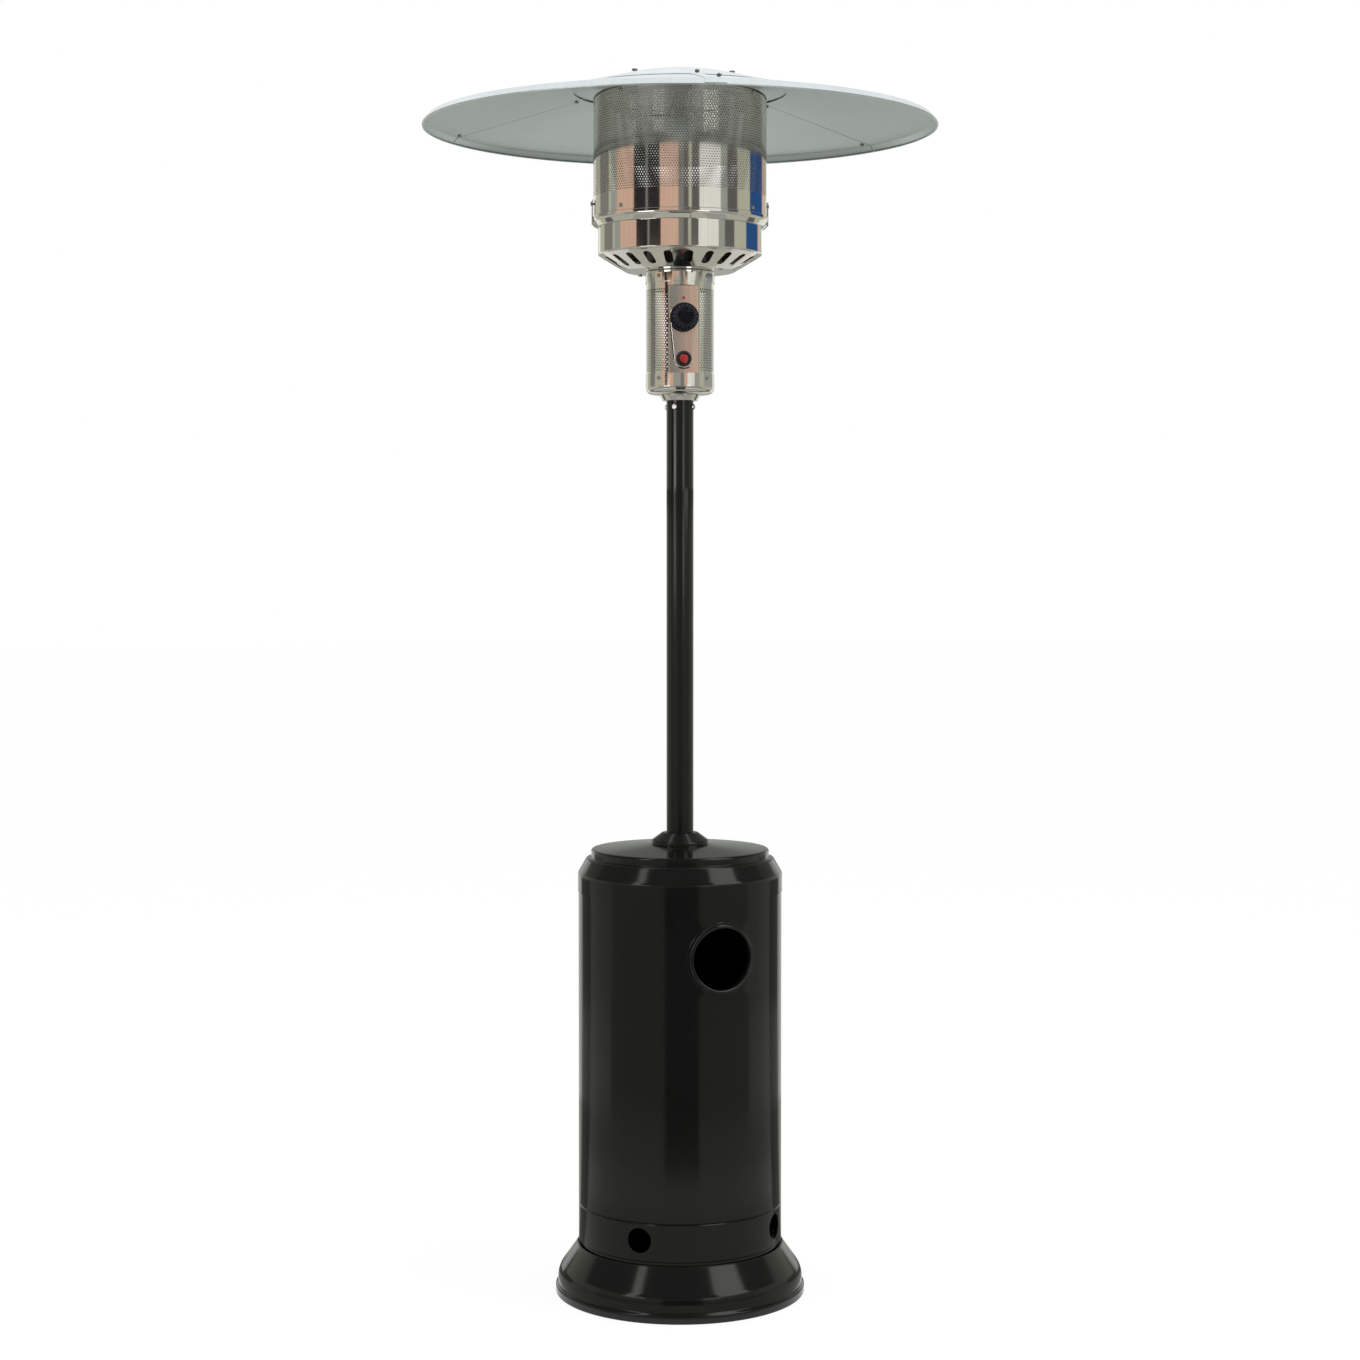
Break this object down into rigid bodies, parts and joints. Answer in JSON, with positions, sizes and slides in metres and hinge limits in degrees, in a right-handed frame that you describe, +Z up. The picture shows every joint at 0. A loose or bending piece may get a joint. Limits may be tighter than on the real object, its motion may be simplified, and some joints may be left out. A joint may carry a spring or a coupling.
{
  "type": "patio heater",
  "caption": "Free-standing gas patio heater: round base, lift-up bottle housing, slim pole, control head with knob and igniter, slotted burner bowl, perforated emitter and wide domed reflector.",
  "frame": {"origin": "on the floor, under the centre of the pole", "axes": "+Z up along the pole; -Y towards the front, where the control panel, knob and igniter are; +X to the right as seen from the front"},
  "size_m": [0.92, 0.92, 2.1924],
  "materials": {
    "black_enamel": "gloss black enamel on steel sheet and tube",
    "polished_stainless": "polished stainless steel sheet",
    "plain_steel": "plain mill-finished steel",
    "zinc_fasteners": "bright zinc-plated steel",
    "brass": "machined brass",
    "copper": "drawn copper",
    "white_ceramic": "glazed white ceramic",
    "satin_aluminium": "satin aluminium sheet",
    "knob_plastic": "blue-black moulded plastic",
    "black_plastic": "black moulded plastic",
    "red_plastic": "red moulded plastic"
  },
  "bodies": {
    "frame": {"base_skirt": "black_enamel", "base_ring": "black_enamel", "bottle_tray": "black_enamel", "support_leg_left": "black_enamel", "support_leg_right": "black_enamel", "support_leg_rear": "black_enamel", "pole_flange": "black_enamel", "pole": "black_enamel", "head_neck": "polished_stainless", "head_cup": "polished_stainless", "control_sleeve": "polished_stainless", "control_panel": "polished_stainless", "top_collar": "polished_stainless", "burner_bowl": "polished_stainless", "clamp_ring": "polished_stainless", "emitter_clips": "polished_stainless", "emitter_screen": "polished_stainless", "emitter_cap": "polished_stainless", "mixer_tube": "plain_steel", "burner_head": "plain_steel", "burner_stays": "plain_steel", "pilot_burner": "plain_steel", "ring_screws": "zinc_fasteners", "leg_bolts": "zinc_fasteners", "flange_bolts": "zinc_fasteners", "flange_nuts": "zinc_fasteners", "socket_screws": "zinc_fasteners", "pole_bolts": "zinc_fasteners", "neck_screws": "zinc_fasteners", "cup_screws": "zinc_fasteners", "collar_screws": "zinc_fasteners", "valve_screws": "zinc_fasteners", "bowl_bolts": "zinc_fasteners", "clip_screws": "zinc_fasteners", "emitter_screws": "zinc_fasteners", "reflector_studs": "zinc_fasteners", "stud_spacers": "zinc_fasteners", "seam_screws": "zinc_fasteners", "disc_nuts": "zinc_fasteners", "gas_valve": "brass", "gas_inlet": "brass", "injector": "brass", "thermocouple": "copper", "spark_electrode": "white_ceramic", "reflector_disc": "satin_aluminium", "reflector_panel_left": "satin_aluminium", "reflector_panel_right": "satin_aluminium", "reflector_panel_rear": "satin_aluminium", "igniter_bezel": "black_plastic", "igniter_nut": "black_plastic", "igniter_body": "black_plastic", "tilt_switch": "black_plastic"},
    "tank_cover": {"tank_housing": "black_enamel", "hand_hole_trim": "black_enamel", "housing_lid": "black_enamel", "lid_collar": "black_enamel"},
    "valve_plug": {"valve_plug": "brass"},
    "knob": {"control_knob": "knob_plastic", "valve_stem": "plain_steel"},
    "igniter_button": {"igniter_button": "red_plastic"}
  },
  "joints": [
    {"name": "housing_lift", "type": "slide", "parent": "frame", "child": "tank_cover", "axis": [0, 0, 1], "range_m": [0, 0.65]},
    {"name": "knob_turn", "type": "hinge", "parent": "frame", "child": "valve_plug", "pos_m": [0, -0.03, 1.7455], "axis": [0, -1, 0], "range_deg": [0, 200]},
    {"name": "knob_push", "type": "slide", "parent": "valve_plug", "child": "knob", "axis": [0, 1, 0], "range_m": [0, 0.004], "stiffness_N_per_m": 1500},
    {"name": "igniter_press", "type": "slide", "parent": "frame", "child": "igniter_button", "axis": [0, 1, 0], "range_m": [0, 0.005], "stiffness_N_per_m": 1200}
  ]
}
